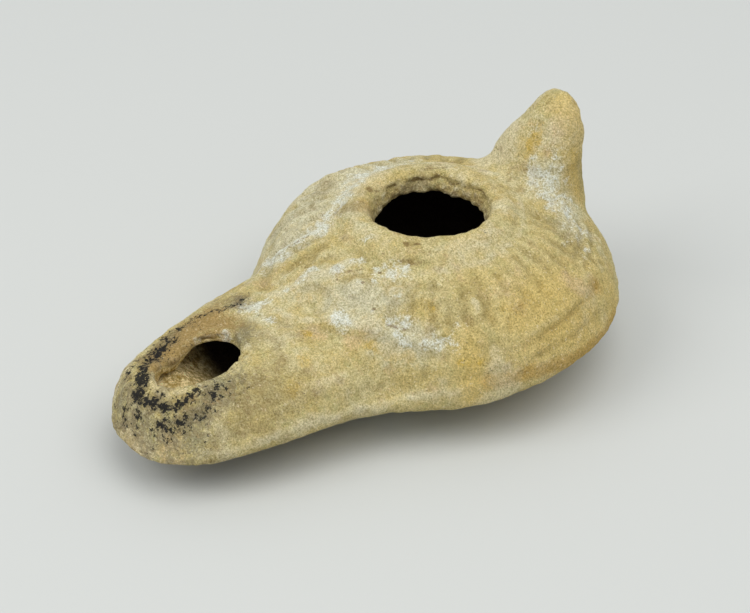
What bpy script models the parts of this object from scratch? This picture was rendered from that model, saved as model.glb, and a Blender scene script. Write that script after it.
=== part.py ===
# Mould-made oil lamp of fired clay: hollow body, long nozzle and tongue handle in one piece.
# Lengths are in metres. The nozzle points to -Y, the handle stands at +Y, the base lies on z = 0.

import math

import bmesh
import bpy
import numpy as np

MM = 0.001

# Plan of the rim, measured from the axis of the filling hole
BODY_RADIUS = 33.4 * MM
BODY_SHIFT = 1.9 * MM
NOZZLE_REACH = 51.0 * MM
NOZZLE_HALF_WIDTH = 14.8 * MM
NOZZLE_ROOT_HALF_WIDTH = 19.4 * MM
NOZZLE_END_DEPTH = 13.9 * MM
BODY_ARC_START = math.radians(50.0)
NOZZLE_ARC_END = math.radians(69.0)
WAIST_PULL_NOZZLE = 0.51
WAIST_PULL_BODY = 0.39

# Heights of the rim seam and of what rises over it
BODY_SEAM_HEIGHT = 11.4 * MM
FLANK_DROP = 2.4 * MM
FLANK_REACH = 20.0 * MM
FLANK_LENGTH = 56.0 * MM
SEAM_DROP = 4.5 * MM
SEAM_DROP_START = 10.0 * MM
SHOULDER_RISE = 17.5 * MM
NOZZLE_RISE = 9.4 * MM
NOZZLE_BACK_FADE = 26.7 * MM
NOZZLE_BACK_END = 6.7 * MM
SHOULDER_FALL_POWER = 2.6
SHOULDER_EDGE_POWER = 1.85
NOZZLE_FALL_POWER = 2.8
NOZZLE_EDGE_POWER = 2.0
DOME_FRONT_SHARE = 0.975
BLEND_POWER = 3.0
SEAM_DROP_POWER = 1.5

# Underside and foot
FOOT_SCALE = 0.446
FOOT_HEIGHT = 0.8 * MM
FOOT_FLARE = 1.06
BOWL_POWER = 1.55

# Wall and openings
WALL = 4.0 * MM
FLOOR = 4.0 * MM
FILL_RADIUS = 10.3 * MM
WICK_REACH = 49.6 * MM
WICK_HALF_WIDTH = 5.2 * MM
WICK_HALF_LENGTH = 7.5 * MM
FILL_CUT_DEPTH = 8.0 * MM
WICK_CUT_DEPTH = 7.3 * MM
CUT_CLEARANCE = 4.0 * MM

# Collar round the filling hole and the groove outside it
COLLAR_WIDTH = 5.4 * MM
COLLAR_RISE = 1.4 * MM
GROOVE_WIDTH = 2.2 * MM
GROOVE_DEPTH = 0.4 * MM

# Worn ribs on the shoulder and the ridge that bounds them
RIB_COUNT = 28
RIB_RISE = 0.5 * MM
RIB_LENGTH = 8.5 * MM
RIB_END_POWER = 0.5
RELIEF_START_TURN = math.radians(22.5)
RELIEF_FULL_TURN = math.radians(37.5)
RIDGE_INSET = 3.6 * MM
RIDGE_WIDTH = 2.8 * MM
RIDGE_RISE = 0.4 * MM

# Shallow hollow that runs along over the rim seam
HOLLOW_HEIGHT = 3.0 * MM
HOLLOW_WIDTH = 3.0 * MM
HOLLOW_DEPTH = 0.4 * MM
WAIST_REACH = 27.0 * MM
WAIST_LENGTH = 30.0 * MM

# Shallow dish round the wick hole
DISH_MARGIN = 5.5 * MM
DISH_DEPTH = 0.8 * MM

# Tongue handle at the back
HANDLE_LEAN = 8.5 * MM
HANDLE_RISE = 30.8 * MM
HANDLE_ROOT_OVER_SEAM = 1.0 * MM
HANDLE_ROOT_MARGIN = 1.7 * MM
HANDLE_ROOT_HALF_DEPTH = 12.2 * MM
HANDLE_ROOT_HALF_WIDTH = 12.2 * MM
HANDLE_TIP_HALF_DEPTH = 4.2 * MM
HANDLE_TIP_HALF_WIDTH = 5.0 * MM
HANDLE_BELLY = 0.5

# Points along the lines of the plan
NOZZLE_POINTS = 24
WAIST_POINTS = 26
BODY_POINTS = 60

# Facets of the meshes
RIM_SEGMENTS = 120
BODY_SEGMENT_SHARE = 0.7
COLLAR_RING_SHARES = (0.12, 0.37, 0.62, 0.87)
SHOULDER_RINGS = 9
EDGE_RINGS = 7
EDGE_RING_POWER = 1.3
CREASE_SHARE = 0.94
BOWL_RINGS = 6
CAVITY_SEGMENTS = 48
CAVITY_RINGS = 4
CAVITY_EDGE_RINGS = 5
CAVITY_EDGE_RING_POWER = 1.5
CAVITY_BOWL_RINGS = 4
HANDLE_SEGMENTS = 28
HANDLE_RINGS = 14
HANDLE_RING_POWER = 1.4
HOLE_SEGMENTS = 48
SLOPE_STEP = 0.1 * MM
SHARP_ANGLE = math.radians(40.0)

CLAY_COLOUR = (0.52, 0.41, 0.26, 1.0)
CLAY_ROUGHNESS = 0.9

COLLAR_RADIUS = FILL_RADIUS + COLLAR_WIDTH / 2
GROOVE_RADIUS = FILL_RADIUS + COLLAR_WIDTH + GROOVE_WIDTH / 2
RIB_START = GROOVE_RADIUS + GROOVE_WIDTH / 2
RIDGE_RADIUS = BODY_RADIUS - RIDGE_INSET - RIDGE_WIDTH / 2
BODY_BACK = BODY_SHIFT + BODY_RADIUS
NOZZLE_TIP = NOZZLE_REACH + NOZZLE_END_DEPTH
FILL_Y = (NOZZLE_TIP - BODY_BACK) / 2


def smooth_step(start, end, value):
    """Rises from 0 at start to 1 at end with level ends."""
    t = min(max((value - start) / (end - start), 0.0), 1.0)
    return t * t * (3.0 - 2.0 * t)


def swell(distance, half_width):
    """A rounded bump: 1 on its crest and 0 from half_width on."""
    t = min(abs(distance) / half_width, 1.0)
    return 0.5 + 0.5 * math.cos(math.pi * t)


def crown(share, fall_power, edge_power):
    """Height of a crowned form over the share of the way from its middle to its edge."""
    return max(1.0 - min(abs(share), 1.0) ** fall_power, 0.0) ** (1.0 / edge_power)


class Outline:
    """Half of the rim in plan, from the nozzle tip round to the back, drawn inset by a wall."""

    def __init__(self, inset):
        self.inset = inset
        self.body_radius = BODY_RADIUS - inset
        self.half_width = NOZZLE_HALF_WIDTH - inset
        self.end_depth = NOZZLE_END_DEPTH - inset
        nozzle = self.nozzle_arc()
        body = self.body_arc()
        waist = self.waist_curve(nozzle[-1], body[0])
        self.front = np.vstack([nozzle, waist])
        self.body = body
        whole = np.vstack([self.front, body])
        self.widths = whole[np.argsort(whole[:, 1])]

    def nozzle_arc(self):
        turn = np.linspace(0.0, NOZZLE_ARC_END, NOZZLE_POINTS)
        return np.c_[self.half_width * np.sin(turn), -NOZZLE_REACH - self.end_depth * np.cos(turn)]

    def body_arc(self):
        turn = np.linspace(BODY_ARC_START, math.pi, BODY_POINTS)
        return np.c_[self.body_radius * np.sin(turn), BODY_SHIFT - self.body_radius * np.cos(turn)]

    def waist_curve(self, start, end):
        """Bezier curve that leaves the nozzle arc and meets the body arc along their tangents."""
        leave_x = self.half_width * math.cos(NOZZLE_ARC_END)
        leave_y = self.end_depth * math.sin(NOZZLE_ARC_END)
        leave = np.array([leave_x, leave_y]) / math.hypot(leave_x, leave_y)
        arrive = np.array([math.cos(BODY_ARC_START), math.sin(BODY_ARC_START)])
        chord = np.linalg.norm(end - start)
        first = start + leave * chord * WAIST_PULL_NOZZLE
        second = end - arrive * chord * WAIST_PULL_BODY
        t = np.linspace(0.0, 1.0, WAIST_POINTS)[1:-1, None]
        near_start = (1 - t) ** 3 * start + 3 * (1 - t) ** 2 * t * first
        near_end = 3 * (1 - t) * t ** 2 * second + t ** 3 * end
        return near_start + near_end

    def at(self, turn):
        """Point of the whole rim: turn 0 is the nozzle tip, 0.5 the back, and it runs by way of +X."""
        half = 1.0 - abs(2.0 * (turn % 1.0) - 1.0)
        side = 1.0 if turn % 1.0 <= 0.5 else -1.0
        front_share = 1.0 - BODY_SEGMENT_SHARE
        if half < front_share:
            x, y = along(self.front, half / front_share)
        else:
            x, y = along(self.body, (half - front_share) / BODY_SEGMENT_SHARE)
        return side * x, y

    def crease_reach(self, forward):
        """How far the circle near the dome's edge lies from the filling hole's axis in one direction."""
        shift = forward * BODY_SHIFT
        return shift + math.sqrt(shift ** 2 - BODY_SHIFT ** 2 + (self.body_radius * CREASE_SHARE) ** 2)

    def half_width_at(self, y):
        return float(np.interp(y, self.widths[:, 1], self.widths[:, 0]))


def along(points, share):
    """Point at a share of the way along a line of points."""
    steps = np.hypot(*np.diff(points, axis=0).T)
    run = np.r_[0.0, np.cumsum(steps)]
    place = share * run[-1]
    return float(np.interp(place, run, points[:, 0])), float(np.interp(place, run, points[:, 1]))


def seam_height(y):
    """Height of the seam between the mould halves, which sinks more and more towards the nozzle tip."""
    share = min(max((-y - SEAM_DROP_START) / (NOZZLE_TIP - SEAM_DROP_START), 0.0), 1.0)
    return BODY_SEAM_HEIGHT - SEAM_DROP * share ** SEAM_DROP_POWER


def rim_height(y):
    """Height of the lower edge of the rim, which hangs under the seam along the front flanks."""
    return seam_height(y) - FLANK_DROP * swell(y + FLANK_REACH, FLANK_LENGTH / 2)


def upper_height(x, y, outline):
    """Height of the smooth upper side: the domed shoulder and the nozzle's back, run together."""
    forward = (y - BODY_SHIFT) / (DOME_FRONT_SHARE if y < BODY_SHIFT else 1.0)
    share = math.hypot(x, forward) / outline.body_radius
    dome = (SHOULDER_RISE - outline.inset) * crown(share, SHOULDER_FALL_POWER, SHOULDER_EDGE_POWER)
    if y > -NOZZLE_REACH:
        across = abs(x) / min(outline.half_width_at(y), NOZZLE_ROOT_HALF_WIDTH - outline.inset)
    else:
        across = math.hypot(x / outline.half_width, (y + NOZZLE_REACH) / outline.end_depth)
    back = (NOZZLE_RISE - outline.inset) * crown(across, NOZZLE_FALL_POWER, NOZZLE_EDGE_POWER)
    back *= 1.0 - smooth_step(-NOZZLE_BACK_FADE, -NOZZLE_BACK_END, y)
    return seam_height(y) + (dome ** BLEND_POWER + back ** BLEND_POWER) ** (1.0 / BLEND_POWER)


def upper_normal(x, y, outline):
    """Direction in which the smooth upper side faces."""
    step = SLOPE_STEP
    slope_x = (upper_height(x + step, y, outline) - upper_height(x - step, y, outline)) / (2 * step)
    slope_y = (upper_height(x, y + step, outline) - upper_height(x, y - step, outline)) / (2 * step)
    length = math.sqrt(slope_x ** 2 + slope_y ** 2 + 1.0)
    return -slope_x / length, -slope_y / length, 1.0 / length


def relief_height(x, y, outline):
    """Moulded and worn relief on the outside: collar, groove, ribs, ridge, side hollow and dish."""
    radius = math.hypot(x, y)
    height = COLLAR_RISE * swell(radius - COLLAR_RADIUS, COLLAR_WIDTH / 2 + GROOVE_WIDTH)
    height -= GROOVE_DEPTH * swell(radius - GROOVE_RADIUS, GROOVE_WIDTH / 2)
    from_body = math.hypot(x, y - BODY_SHIFT)
    turn = math.atan2(abs(x), BODY_SHIFT - y)
    on_body = smooth_step(RELIEF_START_TURN, RELIEF_FULL_TURN, turn)
    rib_phase = (turn - BODY_ARC_START) / (math.pi - BODY_ARC_START) * RIB_COUNT / 2
    across_rib = 0.5 + 0.5 * math.cos(2 * math.pi * rib_phase)
    along_rib = swell(radius - RIB_START - RIB_LENGTH / 2, RIB_LENGTH / 2) ** RIB_END_POWER
    height += RIB_RISE * on_body * across_rib * along_rib
    height += RIDGE_RISE * on_body * swell(from_body - RIDGE_RADIUS, RIDGE_WIDTH)
    dish_x = x / (WICK_HALF_WIDTH + DISH_MARGIN)
    dish_y = (y + WICK_REACH) / (WICK_HALF_LENGTH + DISH_MARGIN)
    height -= DISH_DEPTH * swell(math.hypot(dish_x, dish_y), 1.0)
    over_seam = upper_height(x, y, outline) - seam_height(y)
    hollow = HOLLOW_DEPTH * swell(over_seam - HOLLOW_HEIGHT, HOLLOW_WIDTH / 2)
    return height - hollow * (1.0 - swell(y + WAIST_REACH, WAIST_LENGTH / 2))


def lower_height(share, edge_y, floor):
    """Height of the bowl at a share of the way from the rim in to the foot."""
    return floor + (rim_height(edge_y) - floor) * (1.0 - share) ** BOWL_POWER


def form_point(outline, turn, station, floor, with_relief):
    """Place of one point of a lamp-shaped surface, by its turn round the rim and its ring's station."""
    zone, value = station
    edge_x, edge_y = outline.at(turn)
    reach = math.hypot(edge_x, edge_y)
    if zone in ("circle", "shoulder", "edge"):
        crease = outline.crease_reach(edge_y / reach)
        if zone == "circle":
            radius = value
        elif zone == "shoulder":
            radius = RIB_START + (crease - RIB_START) * value
        else:
            radius = crease + (reach - crease) * value
        x = edge_x * radius / reach
        y = edge_y * radius / reach
        z = upper_height(x, y, outline)
        if with_relief and radius < reach:
            relief = relief_height(x, y, outline)
            facing = upper_normal(x, y, outline)
            return x + relief * facing[0], y + relief * facing[1], z + relief * facing[2]
        return x, y, z
    scale = 1.0 + (FOOT_SCALE - 1.0) * value if zone == "bowl" else FOOT_SCALE * value
    height = lower_height(value, edge_y, floor) if zone == "bowl" else 0.0
    return edge_x * scale, edge_y * scale, height


def edge_stations(rings, power):
    """Rings between the dome's edge and the rim, closer together near the rim."""
    return [("edge", 1.0 - (1.0 - ring / rings) ** power) for ring in range(1, rings + 1)]


def outer_stations():
    """Rings of the outside from the filling hole's axis out over the rim and in under the foot."""
    circles = [0.0, FILL_RADIUS - COLLAR_WIDTH / 4]
    circles += [FILL_RADIUS + COLLAR_WIDTH * share for share in COLLAR_RING_SHARES]
    circles += [GROOVE_RADIUS, RIB_START]
    stations = [("circle", radius) for radius in circles]
    stations += [("shoulder", ring / SHOULDER_RINGS) for ring in range(1, SHOULDER_RINGS + 1)]
    stations += edge_stations(EDGE_RINGS, EDGE_RING_POWER)
    for ring in range(BOWL_RINGS + 1):
        stations.append(("bowl", ring / (BOWL_RINGS + 1)))
    stations += [("foot", FOOT_FLARE), ("foot", 1.0), ("foot", 0.0)]
    return stations


def cavity_stations():
    """Rings of the reservoir, from its top out to its widest line and in to its floor."""
    stations = [("circle", 0.0), ("circle", RIB_START / 2), ("circle", RIB_START)]
    stations += [("shoulder", ring / CAVITY_RINGS) for ring in range(1, CAVITY_RINGS + 1)]
    stations += edge_stations(CAVITY_EDGE_RINGS, CAVITY_EDGE_RING_POWER)
    stations += [("bowl", ring / CAVITY_BOWL_RINGS) for ring in range(1, CAVITY_BOWL_RINGS + 1)]
    stations.append(("floor", 0.0))
    return stations


def pulled_sphere(name, segments, rings, place):
    """Object whose UV sphere has each point moved to place(turn, ring)."""
    mesh = bpy.data.meshes.new(name)
    form = bmesh.new()
    bmesh.ops.create_uvsphere(form, u_segments=segments, v_segments=rings, radius=1.0)
    for vertex in form.verts:
        ring = round(math.acos(max(-1.0, min(1.0, vertex.co.z))) / math.pi * rings)
        turn = round(math.atan2(vertex.co.y, vertex.co.x) / (2 * math.pi) * segments) % segments
        vertex.co = place(turn / segments, ring)
    form.to_mesh(mesh)
    form.free()
    return bpy.data.objects.new(name, mesh)


def make_outside():
    outline = Outline(0.0)
    stations = outer_stations()

    def place(turn, ring):
        zone, value = stations[ring]
        x, y, z = form_point(outline, turn, stations[ring], FOOT_HEIGHT, True)
        if zone == "foot":
            z = FOOT_HEIGHT if value > 1.0 else 0.0
        return x, y + FILL_Y, z

    return pulled_sphere("clay_lamp", RIM_SEGMENTS, len(stations) - 1, place)


def make_cavity():
    outline = Outline(WALL)
    stations = cavity_stations()

    def place(turn, ring):
        zone, value = stations[ring]
        x, y, z = form_point(outline, turn, stations[ring], FLOOR, False)
        if zone == "floor":
            z = FLOOR
        return x, y + FILL_Y, z

    return pulled_sphere("reservoir_cutter", CAVITY_SEGMENTS, len(stations) - 1, place)


def make_handle():
    """Leaning tongue with a round tip, rooted in the shoulder at the back."""
    root_y = BODY_BACK - HANDLE_ROOT_MARGIN - HANDLE_ROOT_HALF_DEPTH
    root_z = BODY_SEAM_HEIGHT + HANDLE_ROOT_OVER_SEAM
    rise = HANDLE_RISE - HANDLE_ROOT_OVER_SEAM
    tip_share = HANDLE_TIP_HALF_DEPTH / rise

    def place(turn, ring):
        inner_rings = HANDLE_RINGS - 2
        share = 1.0 - (ring - 1) / inner_rings if 0 < ring < HANDLE_RINGS else float(ring == 0)
        share = 1.0 - (1.0 - share) ** HANDLE_RING_POWER
        flare = max(1.0 - share / (1.0 - tip_share), 0.0)
        flare *= 1.0 + HANDLE_BELLY * (1.0 - flare)
        round_off = max(1.0 - (max(share - 1.0 + tip_share, 0.0) / tip_share) ** 2, 0.0) ** 0.5
        if ring in (0, HANDLE_RINGS):
            round_off = 0.0
        half_width = HANDLE_TIP_HALF_WIDTH + (HANDLE_ROOT_HALF_WIDTH - HANDLE_TIP_HALF_WIDTH) * flare
        half_depth = HANDLE_TIP_HALF_DEPTH + (HANDLE_ROOT_HALF_DEPTH - HANDLE_TIP_HALF_DEPTH) * flare
        angle = 2 * math.pi * turn
        x = half_width * round_off * math.cos(angle)
        y = root_y + HANDLE_LEAN * share + half_depth * round_off * math.sin(angle)
        return x, y + FILL_Y, root_z + rise * share

    return pulled_sphere("handle_form", HANDLE_SEGMENTS, HANDLE_RINGS, place)


def hole_cutter(name, centre_y, half_width, half_length, bottom, top):
    """Upright cutter of round or oval section."""
    mesh = bpy.data.meshes.new(name)
    form = bmesh.new()
    bmesh.ops.create_cone(form, cap_ends=True, segments=HOLE_SEGMENTS, radius1=1.0, radius2=1.0, depth=1.0)
    for vertex in form.verts:
        level = bottom if vertex.co.z < 0.0 else top
        vertex.co = (vertex.co.x * half_width, vertex.co.y * half_length + centre_y, level)
    form.to_mesh(mesh)
    form.free()
    return bpy.data.objects.new(name, mesh)


def clay_material():
    material = bpy.data.materials.new("fired_clay")
    material.use_nodes = True
    shader = material.node_tree.nodes["Principled BSDF"]
    shader.inputs["Base Color"].default_value = CLAY_COLOUR
    shader.inputs["Roughness"].default_value = CLAY_ROUGHNESS
    shader.inputs["Metallic"].default_value = 0.0
    return material


def combine(target, tool, name, operation):
    step = target.modifiers.new(name, "BOOLEAN")
    step.operation = operation
    step.solver = "EXACT"
    step.object = tool


def build():
    for old in list(bpy.data.objects):
        bpy.data.objects.remove(old, do_unlink=True)
    parts = bpy.data.collections.new("oil_lamp")
    tools = bpy.data.collections.new("cutters")
    bpy.context.scene.collection.children.link(parts)
    bpy.context.scene.collection.children.link(tools)

    lamp = make_outside()
    lamp.data.materials.append(clay_material())
    parts.objects.link(lamp)

    outside = Outline(0.0)
    fill_z = upper_height(0.0, 0.0, outside)
    low = fill_z - FILL_CUT_DEPTH
    high = fill_z + COLLAR_RISE + CUT_CLEARANCE
    fill = hole_cutter("filling_hole_cutter", FILL_Y, FILL_RADIUS, FILL_RADIUS, low, high)
    wick_z = upper_height(0.0, -WICK_REACH, outside)
    wick_y = FILL_Y - WICK_REACH
    low = wick_z - WICK_CUT_DEPTH
    high = wick_z + CUT_CLEARANCE
    wick = hole_cutter("wick_hole_cutter", wick_y, WICK_HALF_WIDTH, WICK_HALF_LENGTH, low, high)

    combine(lamp, make_handle(), "join handle", "UNION")
    combine(lamp, make_cavity(), "hollow out", "DIFFERENCE")
    combine(lamp, fill, "open filling hole", "DIFFERENCE")
    combine(lamp, wick, "open wick hole", "DIFFERENCE")
    for step in lamp.modifiers:
        tools.objects.link(step.object)
        step.object.hide_render = True
        step.object.display_type = "WIRE"
    lamp.data.shade_smooth()
    lamp.data.set_sharp_from_angle(angle=SHARP_ANGLE)


build()
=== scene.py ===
# %% [markdown]
# # A mould-made oil lamp of fired clay
# Lamps like this one were pressed by the thousand in the workshops of the Roman Near East.
# Wet clay was pushed into two half moulds, one for the top and one for the bowl. The halves were
# joined along the widest line, the handle was pinched on, and the two holes were cut by hand.
# The measured solid comes from the CAD part. This lesson gives it the skin of a lamp that has lain
# in the ground: worn relief, pits, lime, yellow earth stains, and the soot of its last flame.

import math

import bmesh
import bpy
import numpy as np
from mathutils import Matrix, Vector
from mathutils import bvhtree
from mathutils import noise


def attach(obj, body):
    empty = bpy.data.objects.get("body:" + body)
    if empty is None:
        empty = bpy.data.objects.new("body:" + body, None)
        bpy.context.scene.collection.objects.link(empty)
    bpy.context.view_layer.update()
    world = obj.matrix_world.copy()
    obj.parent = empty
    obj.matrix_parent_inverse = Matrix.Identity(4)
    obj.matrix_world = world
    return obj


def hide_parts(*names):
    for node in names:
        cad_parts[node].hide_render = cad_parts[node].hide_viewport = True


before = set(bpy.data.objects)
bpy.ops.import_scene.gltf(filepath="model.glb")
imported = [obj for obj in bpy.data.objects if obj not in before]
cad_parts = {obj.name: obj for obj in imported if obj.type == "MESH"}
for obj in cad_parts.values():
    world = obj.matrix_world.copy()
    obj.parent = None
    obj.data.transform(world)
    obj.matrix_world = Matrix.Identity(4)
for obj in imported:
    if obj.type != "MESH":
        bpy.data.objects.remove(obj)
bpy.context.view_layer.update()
print("CAD nodes:", sorted(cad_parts))

# %% [markdown]
# ## Names for the places on the lamp
# All places are in millimetres, seen from above. The filling hole is the natural centre, because
# the potter set out the pattern round it. The wick hole lies towards -Y, the handle towards +Y.
# The rims are worn unevenly, so one direction points to the near side of the lamp and one across.

# %% Places on the lamp
MM = 0.001
FILL = np.array([0.0, 14.8])
FILL_RADIUS = 10.3
WICK = np.array([0.0, -34.8])
WICK_HALF = np.array([5.2, 7.5])
BODY_CENTRE = np.array([0.0, 16.7])
NEAR_WAY = np.array([0.789, -0.615])
ACROSS_WAY = np.array([0.615, 0.789])
SKIN_VOXEL = 0.55
ZERO_GUARD = 0.01
print("from filling hole to wick hole:", round(float(FILL[1] - WICK[1]), 1), "mm")

# %% [markdown]
# ## Soft steps and soft hills
# Worn clay has no sharp edges. Two small curves do nearly all the shaping here: a step that rises
# softly from 0 to 1, and a hill that falls softly from 1 to 0. A band is two steps back to back.
# The gaps tell how far a point lies from a spot, seen from above.


# %% Soft steps, hills and gaps
def smooth_step(start, end, value):
    """0 before start, 1 after end, with a soft change between."""
    share = np.clip((value - start) / (end - start), 0.0, 1.0)
    return share * share * (3.0 - 2.0 * share)


def band(value, rise_start, rise_end, fall_start, fall_end):
    """1 between rise_end and fall_start, and 0 well outside them."""
    return smooth_step(rise_start, rise_end, value) * (1.0 - smooth_step(fall_start, fall_end, value))


def bump(distance, width):
    """A soft hill that is 1 in its middle and close to 0 at twice its width."""
    return np.exp(-((distance / width) ** 2))


def plan_gap(places, spot):
    """Each point's distance from one spot, seen from above."""
    return np.hypot(places[:, 0] - spot[0], places[:, 1] - spot[1])


def oval_gap(places, spot, half):
    """The same as a share of an oval: 1 on its edge."""
    return np.hypot((places[:, 0] - spot[0]) / half[0], (places[:, 1] - spot[1]) / half[1])


print("a hill at once and twice its width:", bump(np.array([1.0, 2.0]), 1.0).round(2))

# %% [markdown]
# ## A skin fine enough to carve
# The CAD solid has some ten thousand facets, which is too coarse for worn relief. A voxel remesh
# turns it into an even net of half-millimetre squares. The solid's own mesh is left alone, and its
# loose triangles are merged in a copy first, because the remesh needs one closed surface.


# %% Remesh the solid
def fine_copy(node, name):
    """A finely and evenly meshed copy of one CAD node."""
    merged = node.data.copy()
    form = bmesh.new()
    form.from_mesh(merged)
    bmesh.ops.remove_doubles(form, verts=form.verts, dist=0.000001)
    form.to_mesh(merged)
    form.free()
    coarse = bpy.data.objects.new(name, merged)
    bpy.context.scene.collection.objects.link(coarse)
    remesh = coarse.modifiers.new("even net", "REMESH")
    remesh.mode = "VOXEL"
    remesh.voxel_size = SKIN_VOXEL * MM
    remesh.adaptivity = 0.0
    graph = bpy.context.evaluated_depsgraph_get()
    fine = bpy.data.meshes.new_from_object(coarse.evaluated_get(graph))
    bpy.data.objects.remove(coarse)
    fine.materials.clear()
    skin = bpy.data.objects.new(name, fine)
    bpy.context.scene.collection.objects.link(skin)
    return skin


lamp = fine_copy(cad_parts["clay_lamp"], "lamp_clay")
mesh = lamp.data
count = len(mesh.vertices)
print("points in the net:", count, "triangles:", 2 * len(mesh.polygons))

# %% [markdown]
# ## The net as rows of numbers
# Carving by hand would mean moving ninety thousand points. Read into one array, they all move in a
# single sum. The edges tell which points are neighbours, and the mean of the neighbours is what
# softens the net: a thumb over wet clay does much the same.


# %% Read and write the points as arrays
def read_points(of_mesh):
    """All points, in millimetres."""
    flat = np.empty(len(of_mesh.vertices) * 3)
    of_mesh.vertices.foreach_get("co", flat)
    return flat.reshape(-1, 3) / MM


def write_points(of_mesh, places):
    of_mesh.vertices.foreach_set("co", (places * MM).ravel())
    of_mesh.update()


def read_normals(of_mesh):
    """The outward direction at each point."""
    flat = np.empty(len(of_mesh.vertices) * 3)
    of_mesh.vertex_normals.foreach_get("vector", flat)
    return flat.reshape(-1, 3)


edge_ends = np.empty(len(mesh.edges) * 2, dtype=np.int32)
mesh.edges.foreach_get("vertices", edge_ends)
edge_ends = edge_ends.reshape(-1, 2)
neighbours = np.bincount(edge_ends.ravel(), minlength=count).astype(float)


def neighbour_mean(values):
    """Mean of each point's neighbours, for one value or three per point."""
    columns = values.reshape(count, -1)
    total = np.empty_like(columns)
    for column in range(columns.shape[1]):
        first = np.bincount(edge_ends[:, 0], columns[edge_ends[:, 1], column], minlength=count)
        second = np.bincount(edge_ends[:, 1], columns[edge_ends[:, 0], column], minlength=count)
        total[:, column] = (first + second) / neighbours
    return total.reshape(values.shape)


print("neighbours of a point, on average:", round(float(neighbours.mean()), 2))

# %% [markdown]
# ## Which points lie outside
# Soot, lime and relief belong on the outside, and the inside of the vessel stays plain. A ray from
# each point tells them apart: outside, a ray upwards, downwards or straight out meets no more clay.
# Under the two holes a ray upwards would get away too, so those points go by their height.

# %% Find the outside
RAY_START = 0.3
FILL_RIM_LOW = 22.0
WICK_RIM_LOW = 15.5


def escapes(clay_tree, places, ways):
    """1 for each point whose ray gets away from the clay, else 0."""
    result = np.zeros(len(places))
    for index in range(len(places)):
        way = Vector(ways[index])
        start = Vector(places[index]) + way * RAY_START
        if clay_tree.ray_cast(start, way)[0] is None:
            result[index] = 1.0
    return result


points = read_points(mesh)
faces = [tuple(face.vertices) for face in mesh.polygons]
lamp_tree = bvhtree.BVHTree.FromPolygons([Vector(p) for p in points], faces)
normals = read_normals(mesh)
up = np.tile([0.0, 0.0, 1.0], (count, 1))
from_axis = plan_gap(points, FILL)
wick_gap = oval_gap(points, WICK, WICK_HALF)
over_wick = wick_gap < 1.15
over_hole = (from_axis < FILL_RADIUS + 1.0) | over_wick
open_above = escapes(lamp_tree, points, up) * np.where(over_hole, 0.0, 1.0)
open_below = escapes(lamp_tree, points, -up)
sideways = normals * [1.0, 1.0, 0.0]
sideways /= np.maximum(np.linalg.norm(sideways, axis=1), 0.001)[:, None]
open_aside = escapes(lamp_tree, points, sideways) * np.where(over_hole, 0.0, 1.0)
outside = np.maximum(np.maximum(open_above, open_below), open_aside)
outside[over_hole & (points[:, 2] > FILL_RIM_LOW)] = 1.0
outside[over_wick & (points[:, 2] > WICK_RIM_LOW)] = 1.0
for _ in range(3):
    outside = (outside + neighbour_mean(outside)) / 2.0
outside = smooth_step(0.3, 0.7, outside)
print("share of the net outside:", round(float(outside.mean()), 2))

# %% [markdown]
# ## Ease the net
# The net still shows the facets and the evenly spaced ribs of the solid. It is eased a little all
# over and a lot on the shoulder, where the pattern is drawn again from its own lines further on.
# The root of the handle was smeared on with a thumb, so it is eased most of all.

# %% Ease the net
EASE_ALL = 6
EASE_SHOULDER = 60
EASE_ROOT = 110
shoulder = band(from_axis, 17.0, 19.0, 29.0, 31.5)
shoulder *= smooth_step(16.0, 18.0, points[:, 2]) * outside
for turns_done in range(EASE_SHOULDER):
    rate = 0.5 if turns_done < EASE_ALL else 0.5 * np.maximum(shoulder, 0.08)[:, None]
    points += rate * (neighbour_mean(points) - points)
root = (1.0 - smooth_step(0.85, 1.15, oval_gap(points, (0.0, 35.0), (15.0, 12.0)))) * outside
root *= band(points[:, 2], 19.0, 22.0, 29.0, 33.0)
root *= smooth_step(14.5, 16.0, plan_gap(points, FILL))
for _ in range(EASE_ROOT):
    points += 0.5 * root[:, None] * (neighbour_mean(points) - points)
print("points in the root of the handle:", int((root > 0.5).sum()))

# %% [markdown]
# ## The filling hole, cut by hand
# The potter cut both holes with a knife after the halves were joined, so neither is a true circle.
# The filling hole is a little oval, narrows inwards, and its rim is highest on the near side. On
# the far side the wall is thin, so its lower edge is lifted until it hides behind the rim.

# %% Shape the rim of the filling hole
from_centre = points[:, :2] - FILL
rim_r = np.linalg.norm(from_centre, axis=1)
facing_across = from_centre @ ACROSS_WAY / np.maximum(rim_r, ZERO_GUARD)
facing_near = from_centre @ NEAR_WAY / np.maximum(rim_r, ZERO_GUARD)
rim_zone = (1.0 - smooth_step(11.0, 16.5, rim_r)) * smooth_step(20.0, 23.0, points[:, 2])
stretch = 0.075 * np.clip(facing_across, 0.0, 1.0) - 0.095 * np.clip(facing_near, 0.0, 1.0) ** 1.5
depth_below = np.clip(28.0 - points[:, 2], 0.0, 6.0) * (rim_r < 12.5)
stretch -= 0.022 * depth_below
points[:, :2] += from_centre * (stretch * rim_zone)[:, None]
points[:, 2] += 0.6 * np.clip(facing_near, 0.0, 1.0) * rim_zone
height = points[:, 2].copy()
thin = np.clip(-facing_near, 0.0, 1.0) * (1.0 - smooth_step(12.5, 15.0, rim_r))
points[:, 2] += 1.3 * thin * band(height, 19.0, 22.0, 24.5, 28.0)
print("stretch of the rim:", round(float(stretch.min()), 3), "to", round(float(stretch.max()), 3))

# %% [markdown]
# ## The wick hole, cut by hand and worn
# Flames and trimmed wicks wore this hole more than the other one. It is moved a little to the far
# side, its far lip has worn low, and the roof of the channel inside is lifted to follow it. The
# floor of the channel is raised towards the tip, where burnt oil and earth have caked.

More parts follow.
